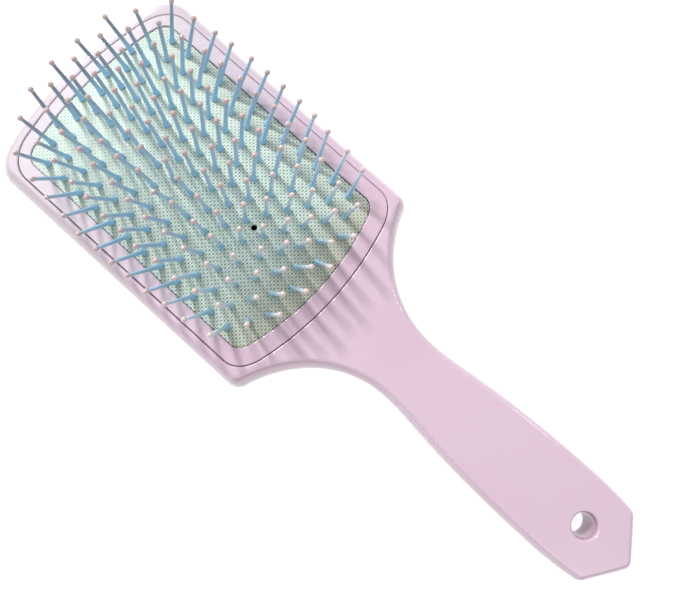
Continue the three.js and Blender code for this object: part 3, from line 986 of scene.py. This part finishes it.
@dataclass
class RetainingFrame:
    """Thin ring with rounded lips and pegs, pressed into the recess."""

    finish: MouldedPlastic
    seam: float = 0.29
    seam_depth: float = 0.6
    seam_least: float = 0.3
    seam_deepens_across: tuple[float, float] = (8.0, 32.0)
    seam_deepens_along: tuple[float, float] = (46.0, 54.0)
    skirt_gap: float = 0.1
    inner_lip: float = 0.4
    outer_lip: float = 0.3
    lip_steps: int = 8
    peg_chamfer: tuple[float, float] = (0.25, 0.3)

    def build(self) -> bpy.types.Object:
        """Makes and dresses the ring."""
        draft = MeshDraft()
        low = FLANGE_TOP_Z + EDGE_GAP
        skirt, opening = RECESS.grown(-self.skirt_gap).outline(), OPENING.outline()
        outer = RECESS.grown(-self.seam)
        by_side = np.interp(-skirt[:, 1], self.seam_deepens_across, (0, 1))
        by_handle = np.interp(skirt[:, 0], self.seam_deepens_along, (0, 1))
        share = self.seam_least + (1 - self.seam_least) * np.maximum(by_side, by_handle)
        step = FACE_Z - self.seam_depth * share
        loops = [
            draft.level(skirt, low),
            draft.level(skirt, step),
            draft.level(outer.outline(), step),
        ]
        for across, down in quarter_ellipse(self.outer_lip, self.outer_lip, self.lip_steps):
            loops.append(draft.level(outer.grown(-across).outline(), FACE_Z - down))
        for across, down in quarter_ellipse(self.inner_lip, self.inner_lip, self.lip_steps)[::-1]:
            loops.append(draft.level(OPENING.grown(across).outline(), FACE_Z - down))
        loops.append(draft.level(opening, low))
        draft.skin(loops)
        roots = [self.peg(draft, centre, low) for centre in PEGS.centres()]
        draft.fill(
            [loops[0], loops[-1], *roots],
            lambda p: inside(p, skirt) & ~inside(p, opening) & PEGS.clear_of(p, 0.0),
        )
        piece = draft.finish("frame_ring", Shading.LEVEL_FACES)
        dress(piece, self.finish.material(), Body.HANDLE)
        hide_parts("retaining_frame")
        return piece

    def peg(self, draft: MeshDraft, centre: Points, root_z: float) -> Loop:
        """A peg that hangs from the ring, and its loop there."""
        plan = circle(centre, PEGS.radius, PEGS.sides)
        chamfer_in, chamfer_up = self.peg_chamfer
        narrow = circle(centre, PEGS.radius - chamfer_in, PEGS.sides)
        end_z = LEDGE_Z - PEGS.depth + EDGE_GAP
        root = draft.level(plan, root_z)
        side = draft.level(plan, end_z + chamfer_up)
        end = draft.level(narrow, end_z)
        draft.skin([end, side, root])
        draft.fan(end, np.array([*centre, end_z]))
        return root


# ---- Pins ----


@dataclass(frozen=True)
class Crown:
    """The cushion's dome above its flange."""

    height: float = 8.4
    along_x: float = 5.6
    along_y: float = 6.6
    corners: float = 4.1
    reach_x: float = 42.0
    reach_y: float = 28.0
    head_edge: float = 1.8
    edge: float = 1.3
    edge_falls: tuple[float, float] = (-46.0, -26.0)
    edge_blend: float = 0.6

    def at(self, x: np.ndarray, y: np.ndarray) -> np.ndarray:
        """Height above the flange's top. The dome levels out by the frame."""
        u, v = x / self.reach_x, y / self.reach_y
        dome = self.height - self.along_x * u**2 - self.along_y * v**2 + self.corners * (u * v) ** 2
        edge = self.head_edge + (self.edge - self.head_edge) * smooth_step(x, *self.edge_falls)
        return (dome + edge + np.hypot(dome - edge, self.edge_blend)) / 2


CROWN = Crown()
CENTRE_HEIGHT = 6.2
SHOULDER_HEIGHT = 3.2


@dataclass(frozen=True)
class Pin:
    """One pin: where it stands on the cushion, and which way it points."""

    column: int
    base: Points
    direction: Points
    height: float

    def body(self) -> Body:
        """The body that carries it, by the cushion's height under it."""
        if self.height >= CENTRE_HEIGHT:
            return Body.CENTRE
        return Body.SHOULDER if self.height >= SHOULDER_HEIGHT else Body.EDGE


@dataclass
class PinField:
    """Eleven columns of nylon pins with dipped ball tips."""

    nylon: PinNylon
    ball: DippedBall
    pitch_x: float = 7.02
    pitch_y: float = 5.6
    columns: str = "abcdefghijk"
    long_count: int = 14
    length: float = 16.1
    ball_radius: float = 0.9
    ball_start: float = -52.0
    ball_turn: float = 17.0
    ball_steps: int = 8
    ball_nub: float = 0.05
    neck_radius: float = 0.5
    neck_below_tip: float = 0.79
    sides: int = 14
    lean_along: tuple[float, float, float] = (0.02, 0.32, -0.25)
    lean_across: tuple[float, float, float] = (0.24, 0.42, -0.41)
    settle: tuple[float, float] = (-0.015, 0.035)
    jitter: float = 0.028
    seed: int = 11
    pins: list[Pin] = field(default_factory=list)

    def __post_init__(self) -> None:
        """Places every pin."""
        chance = np.random.default_rng(self.seed)
        for column in range(len(self.columns)):
            self.pins += self.column_pins(column, chance)

    def column_pins(self, column: int, chance: np.random.Generator) -> list[Pin]:
        """Pins of one column, from the head's edge to the handle.

        Args:
            column: Which column, from 0.
            chance: Source of each pin's small fault in lean.

        Returns:
            The pins.
        """
        count = self.long_count - column % 2
        skipped = 1 if column in (0, len(self.columns) - 1) else 0
        y = (column - (len(self.columns) - 1) / 2) * self.pitch_y
        pins = []
        for number in range(skipped, count - skipped):
            x = (number - (count - 1) / 2) * self.pitch_x
            u, v = x / CROWN.reach_x, y / CROWN.reach_y
            terms = (u, u**3, u * v**2), (v, v**3, v * u**2)
            lean = np.sum([self.lean_along, self.lean_across] * np.array(terms), axis=1)
            lean = lean + self.settle + chance.normal(0.0, self.jitter, 2)
            direction = np.array([*lean, 1.0])
            height = float(CROWN.at(x, y))
            base = np.array([x, y, FLANGE_TOP_Z + height])
            pins.append(Pin(column, base, direction / np.linalg.norm(direction), height))
        return pins

    def runs(self) -> dict[str, list[Pin]]:
        """Neighbouring pins of a column on the same body, by the name of the node they replace."""
        runs: dict[str, list[Pin]] = {}
        for column, letter in enumerate(self.columns):
            groups: list[list[Pin]] = []
            for pin in (p for p in self.pins if p.column == column):
                if not groups or groups[-1][-1].body() is not pin.body():
                    groups.append([])
                groups[-1].append(pin)
            middle = (len(groups) - 1) / 2
            for order, group in enumerate(groups):
                zone = group[0].body().value.removesuffix("_pins")
                side = "head" if order < middle else "handle"
                place = "middle" if order == middle else f"{side}_{zone}"
                runs[f"{letter}_{place}"] = group
        return runs

    def pin_profile(self) -> Profile:
        """Radius and height of a pin, from the middle of its foot up."""
        flare = [(1.02, 0.04), (1.13, 0.25), (1.14, 0.55), (1.04, 1.0), (0.88, 1.6), (0.77, 2.3)]
        neck = self.length - self.neck_below_tip
        return [
            (1.55, -2.55),
            (1.75, -2.4),
            (1.75, -2.0),
            (1.6, -1.85),
            (0.66, -1.75),
            (0.62, -1.5),
            (0.62, -0.04),
            *flare,
            (0.72, 3.6),
            (0.64, 9.0),
            (0.57, neck - 0.2),
            (self.neck_radius, neck),
        ]

    def ball_profile(self) -> Profile:
        """Radius and height of a ball tip, with a short collar round the pin's neck."""
        start = self.length - self.neck_below_tip
        points = [(self.neck_radius, start), (0.6, start + 0.02)]
        for step in range(1, self.ball_steps + 1):
            turn = math.radians(self.ball_start + step * self.ball_turn)
            height = self.length + self.ball_radius * math.sin(turn)
            points.append((self.ball_radius * math.cos(turn), height))
        return points

    def turned(self, draft: MeshDraft, pin: Pin, profile: Profile, nub: float = 0.0) -> None:
        """Adds a turned shape that stands on a pin's base along its lean.

        Args:
            draft: The mesh it goes into.
            pin: The pin.
            profile: Radius and height pairs from the foot up.
            nub: How far the middle of its top stands above the last pair.
        """
        axis = pin.direction
        across = np.cross(axis, np.array([0.0, 1.0, 0.0]))
        across /= np.linalg.norm(across)
        other = np.cross(axis, across)
        turn = TAU * np.arange(self.sides) / self.sides
        ring = np.cos(turn)[:, None] * across + np.sin(turn)[:, None] * other
        loops = []
        for radius, z in profile:
            rise = min(max(z / self.length, 0.0), 1.0)
            loops.append(draft.add(pin.base + radius * ring + z * axis, rise))
        draft.skin(loops)
        draft.fan(loops[0], pin.base + profile[0][1] * axis)
        draft.fan(loops[-1], pin.base + (profile[-1][1] + nub) * axis, 1.0)

    def build(self) -> None:
        """Makes and dresses the pins and their tips, one piece of each for each run."""
        nylon, ball = self.nylon.material(), self.ball.material()
        for name, group in self.runs().items():
            pins, tips = MeshDraft(), MeshDraft()
            for pin in group:
                self.turned(pins, pin, self.pin_profile())
                self.turned(tips, pin, self.ball_profile(), self.ball_nub)
            body = group[0].body()
            column = pins.finish(f"nylon_pins_{name}")
            dress(column, nylon, body)
            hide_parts(f"pins_{name}")
            dress(tips.finish(f"ball_tips_{name}"), ball, body)


# ---- Cushion ----


@dataclass
class AirCushion:
    """Domed rubber sheet with a woven imprint, a vent, pin holes and a clamped flange."""

    finish: WovenRubber
    pins: list[Pin]
    thickness: float = 1.5
    weave: float = 1.6
    cells_in_weave: int = 6
    relief: float = 0.11
    pin_hole: float = 0.74
    pucker: float = 0.16
    vent: tuple[float, float] = (24.5, 0.0)
    vent_radius: float = 1.0
    flange_gap: float = 0.6
    rim_gap: float = 0.12
    pucker_reach: float = 1.9
    snap_reach: float = 0.4
    hole_share: float = 0.93
    loose_step: float = 2.6
    loose_along: tuple[float, float] = (-50.0, 54.0)
    loose_across: tuple[float, float] = (-32.0, 33.0)
    loose_from_rim: float = 0.6
    loose_from_hole: float = 0.35
    rises_over: float = 3.0

    def top(self, plan: Points, woven: bool = True) -> np.ndarray:
        """Height of the sheet's upper face.

        Args:
            plan: Places in plan.
            woven: Whether the weave and the pucker round each pin are in it.

        Returns:
            A height for each place.
        """
        x, y = plan[:, 0], plan[:, 1]
        crown = CROWN.at(x, y)
        if woven:
            turn_x, turn_y = TAU * x / self.weave, TAU * y / self.weave
            imprint = -0.6 * np.cos(turn_x) * np.cos(turn_y) - 0.4 * np.cos(2 * turn_x)
            crown = crown + self.relief * (imprint - 0.4)
            for pin in self.pins:
                near = np.hypot(x - pin.base[0], y - pin.base[1])
                crown = crown - self.pucker * np.exp(-((near / self.pucker_reach) ** 2))
        return FLANGE_TOP_Z + crown

    def holes(self) -> list[tuple[Points, float, Points]]:
        """Centre, radius and downward drift of each hole in the dome."""
        found = [
            (
                pin.base[:2],
                self.pin_hole,
                -pin.direction[:2] / pin.direction[2] * self.thickness,
            )
            for pin in self.pins
        ]
        found.append((np.array(self.vent), self.vent_radius, np.zeros(2)))
        return found

    def build(self) -> bpy.types.Object:
        """Makes and dresses the cushion."""
        draft = MeshDraft()
        rim = OPENING.grown(-self.rim_gap).outline()
        free, drift = self.dome(draft, rim)
        plate = RECESS.grown(-self.flange_gap).outline()
        self.flange_and_underside(draft, rim, plate, free, drift)
        piece = draft.finish("woven_cushion")
        dress(piece, self.finish.material(), Body.HANDLE)
        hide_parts("rubber_cushion")
        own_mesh(piece)
        return piece

    def dome(self, draft: MeshDraft, rim: Points) -> tuple[Edges, dict[int, Points]]:
        """The woven face inside the frame.

        Args:
            draft: The cushion's mesh.
            rim: Outline of the dome in plan.

        Returns:
            The free edges, and each hole point's drift downwards by its index.
        """
        step = self.weave / self.cells_in_weave
        low = np.floor(rim.min(axis=0) / step) - 1
        high = np.ceil(rim.max(axis=0) / step) + 1
        xs = np.arange(low[0], high[0] + 1) * step
        ys = np.arange(low[1], high[1] + 1) * step
        grid_x, grid_y = np.meshgrid(xs, ys, indexing="ij")
        plan = np.column_stack([grid_x.ravel(), grid_y.ravel()])
        number = np.arange(len(plan)).reshape(len(xs), len(ys))
        quads = np.stack(
            [number[:-1, :-1], number[1:, :-1], number[1:, 1:], number[:-1, 1:]], axis=-1
        ).reshape(-1, 4)
        middles = plan[quads].mean(axis=1)
        kept = inside(middles, rim)
        for centre, radius, _ in self.holes():
            kept &= np.linalg.norm(middles - centre, axis=1) > radius
        quads = quads[kept]
        sides = np.concatenate([quads[:, [i, (i + 1) % 4]] for i in range(4)])
        keys = {tuple(edge) for edge in sides.tolist()}
        free = [(a, b) for a, b in keys if (b, a) not in keys]
        drift = self.snap(plan, sorted({i for edge in free for i in edge}), rim)
        places = np.column_stack([plan, self.top(plan)])
        first = draft.add(places)[0]
        draft.faces += [tuple(q) for q in (quads + first).tolist()]
        moved = {i + first: d for i, d in drift.items()}
        return [(a + first, b + first) for a, b in free], moved

    def snap(self, plan: Points, edge_points: Loop, rim: Points) -> dict[int, Points]:
        """Moves the stepped free edges onto the holes and the rim.

        Args:
            plan: Grid points, changed in place.
            edge_points: Indices of the points on free edges.
            rim: Outline of the dome.

        Returns:
            The drift of each point on a hole, by its index.
        """
        chosen = np.array(edge_points)
        places = plan[chosen]
        drift: dict[int, Points] = {}
        on_hole = np.zeros(len(chosen), dtype=bool)
        for centre, radius, shift in self.holes():
            spoke = places - centre
            far = np.linalg.norm(spoke, axis=1)
            near = far < radius + self.snap_reach
            on_hole |= near
            plan[chosen[near]] = centre + spoke[near] / far[near, None] * radius
            for index in chosen[near].tolist():
                drift[index] = shift
        rest = chosen[~on_hole]
        plan[rest] = nearest_on(plan[rest], rim)
        return drift

    def flange_and_underside(
        self,
        draft: MeshDraft,
        rim: Points,
        plate: Points,
        free: Edges,
        drift: dict[int, Points],
    ) -> None:
        """Everything that the frame hides, and the sheet's lower face.

        Args:
            draft: The cushion's mesh.
            rim: Outline of the dome in plan.
            plate: Outline of the flange in plan.
            free: Free edges of the dome.
            drift: Drift of the points on holes.
        """
        places = np.concatenate(draft.points)
        rim_edges = [(a, b) for a, b in free if a not in drift]
        hole_edges = [(a, b) for a, b in free if a in drift]
        rim_points = sorted({i for edge in rim_edges for i in edge})
        step_down = dict(zip(rim_points, draft.level(places[rim_points][:, :2], FLANGE_TOP_Z)))
        draft.wall(rim_edges, step_down)
        plate_top = draft.level(plate, FLANGE_TOP_Z)
        plate_low = draft.level(plate, FLANGE_TOP_Z - self.thickness)
        draft.bridge(plate_low, plate_top)
        peg_tops, peg_lows = [], []
        for centre in PEGS.centres():
            ring = circle(centre, PEGS.radius + EDGE_GAP, PEGS.sides)
            peg_tops.append(draft.level(ring, FLANGE_TOP_Z))
            peg_lows.append(draft.level(ring, FLANGE_TOP_Z - self.thickness))
            draft.bridge(peg_lows[-1], peg_tops[-1])
        ring_edges = [(step_down[a], step_down[b]) for a, b in rim_edges]
        for loop in [plate_top, *peg_tops]:
            ring_edges += around(loop)
        draft.fill_edges(
            ring_edges,
            lambda p: inside(p, plate) & ~inside(p, rim) & PEGS.clear_of(p, EDGE_GAP),
        )
        seen = sorted({i for edge in hole_edges for i in edge})
        plan = places[seen][:, :2] + np.array([drift[i] for i in seen])
        lower = dict(zip(seen, draft.level(plan, self.underside(plan, rim))))
        draft.wall(hole_edges, lower)
        low_edges = [(lower[a], lower[b]) for a, b in hole_edges]
        for loop in [plate_low, *peg_lows]:
            low_edges += around(loop)
        loose = self.loose_points(rim)
        inner = draft.level(loose, self.underside(loose, rim))
        holes = self.holes()

        def under_sheet(points: Points) -> np.ndarray:
            """Says which points of the underside are rubber."""
            kept = inside(points, plate) & PEGS.clear_of(points, EDGE_GAP)
            for centre, radius, shift in holes:
                kept &= np.linalg.norm(points - centre - shift, axis=1) > radius * self.hole_share
            return kept

        draft.fill_edges(low_edges, under_sheet, inner)

    def loose_points(self, rim: Points) -> Points:
        """Points that shape the underside of the dome between the pin holes."""
        xs = np.arange(*self.loose_along, self.loose_step)
        ys = np.arange(*self.loose_across, self.loose_step)
        grid = np.array([(x, y) for x in xs for y in ys], dtype=float)
        from_rim = np.linalg.norm(grid - nearest_on(grid, rim), axis=1)
        inner = inside(grid, rim) & (from_rim > self.loose_from_rim)
        for centre, radius, shift in self.holes():
            far = np.linalg.norm(grid - centre - shift, axis=1)
            inner &= far > radius + self.loose_from_hole
        return grid[inner]

    def underside(self, plan: Points, rim: Points) -> np.ndarray:
        """Height of the sheet's lower face, level under the flange."""
        from_rim = np.linalg.norm(plan - nearest_on(plan, rim), axis=1)
        fade = smooth_step(from_rim, 0.0, self.rises_over) * inside(plan, rim)
        crown = self.top(plan, woven=False) - FLANGE_TOP_Z
        return FLANGE_TOP_Z - self.thickness + fade * crown


# ---- Studio ----


@dataclass(frozen=True)
class Softbox:
    """A square soft light that points at the brush."""

    name: str
    place: tuple[float, float, float]
    size: float
    power: float

    def build(self, aim: Vector) -> None:
        """Hangs the light."""
        lamp = bpy.data.lights.new(self.name, "AREA")
        lamp.shape = "SQUARE"
        lamp.size = self.size
        lamp.energy = self.power
        holder = bpy.data.objects.new(self.name, lamp)
        holder.location = self.place
        holder.rotation_euler = (aim - Vector(self.place)).to_track_quat("-Z", "Y").to_euler()
        bpy.context.scene.collection.objects.link(holder)


@dataclass
class Studio:
    """Floor, lights, surroundings and camera."""

    sheet: StudioSheet
    lights: tuple[Softbox, ...]
    surround: float
    eye: tuple[float, float, float] = (0.0117, -0.02299, 0.21928)
    aim: tuple[float, float, float] = (-0.00353, 0.00435, 0.0)
    up: tuple[float, float, float] = (-0.66521, 0.73385, 0.13768)
    lens: float = 35.43
    lit: tuple[float, float, float] = (-0.03, 0.0, 0.01)
    floor_half: float = 2.0
    floor_z: float = -0.0001

    def build(self) -> None:
        """Sets up the studio."""
        self.camera()
        self.floor()
        for light in self.lights:
            light.build(Vector(self.lit))
        world = bpy.data.worlds.new("studio")
        world.use_nodes = True
        background = world.node_tree.nodes["Background"]
        background.inputs["Color"].default_value = (1.0, 1.0, 1.0, 1.0)
        background.inputs["Strength"].default_value = self.surround
        bpy.context.scene.world = world
        bpy.context.scene.view_settings.view_transform = "Standard"

    def camera(self) -> None:
        """Places the camera."""
        lens = bpy.data.cameras.new("camera")
        lens.lens = self.lens
        lens.sensor_width = 36.0
        lens.sensor_fit = "HORIZONTAL"
        lens.clip_start = 0.01
        holder = bpy.data.objects.new("camera", lens)
        back = (Vector(self.eye) - Vector(self.aim)).normalized()
        right = Vector(self.up).cross(back).normalized()
        above = back.cross(right)
        turn = Matrix((right, above, back)).transposed().to_4x4()
        holder.matrix_world = Matrix.Translation(self.eye) @ turn
        bpy.context.scene.collection.objects.link(holder)
        bpy.context.scene.camera = holder

    def floor(self) -> None:
        """Lays the floor just under the brush."""
        mesh = bpy.data.meshes.new("floor")
        half, z = self.floor_half, self.floor_z
        corners = [(-half, -half, z), (half, -half, z), (half, half, z), (-half, half, z)]
        mesh.from_pydata(corners, [], [(0, 1, 2, 3)])
        sheet = bpy.data.objects.new("floor", mesh)
        bpy.context.scene.collection.objects.link(sheet)
        mesh.materials.append(self.sheet.material())


def main() -> None:
    """Builds the studio and every piece."""
    logging.basicConfig(level=logging.INFO, format="%(name)s: %(message)s")
    studio = Studio(
        StudioSheet("floor_sheet", (0.25, 0.25, 0.25, 1.0)),
        (
            Softbox("key", (-1.23, 0.29, 1.01), 0.22, 21.0),
            Softbox("overhead", (-0.43, -0.04, 0.77), 0.5, 1.7),
            Softbox("fill", (0.45, -0.2, 0.5), 0.4, 0.6),
            Softbox("edge", (0.2, 0.5, 0.36), 0.05, 0.3),
        ),
        surround=0.335,
    )
    studio.build()
    LOG.info("studio ready")
    # Painted shade for the upright walls of the shell and the frame.
    wall = tint(182, 146, 169)
    # The third tint of each plastic is its painted highlight towards the head's end.
    shell = MouldedPlastic(
        "shell_plastic", tint(218, 191, 209), tint(222, 196, 213), tint(212, 200, 209), wall
    )
    HandleAndHead(shell).build()
    LOG.info("handle and head ready")
    ring = MouldedPlastic(
        "frame_plastic", tint(217, 188, 205), tint(221, 193, 209), tint(216, 205, 213), wall, 0.24
    )
    RetainingFrame(ring).build()
    LOG.info("retaining frame ready")
    # The pins' last two nylon tints are painted shade near the head and painted light by the
    # handle.
    pins = PinField(
        PinNylon(
            "pin_nylon",
            foot=tint(152, 202, 233),
            neck=tint(172, 198, 220),
            painted_backlit_shade=tint(140, 146, 158),
            painted_lit_tops=tint(222, 236, 247),
        ),
        # The ball's last tint is painted light by the handle.
        DippedBall("ball_coating", tint(198, 172, 172), tint(212, 190, 189), tint(230, 211, 207)),
    )
    pins.build()
    LOG.info("%d pins ready", len(pins.pins))
    # The rubber's ridge tint is painted highlight, and its pit and edge tints are painted shade.
    rubber = WovenRubber(
        "woven_rubber",
        painted_ridge_highlight=tint(236, 246, 236),
        field=tint(200, 218, 203),
        painted_pit_shade=tint(116, 140, 126),
        painted_edge_shade=tint(220, 206, 196),
        pitch=AirCushion.weave,
    )
    AirCushion(rubber, pins.pins).build()
    LOG.info("cushion ready")


if __name__ == "__main__":
    main()
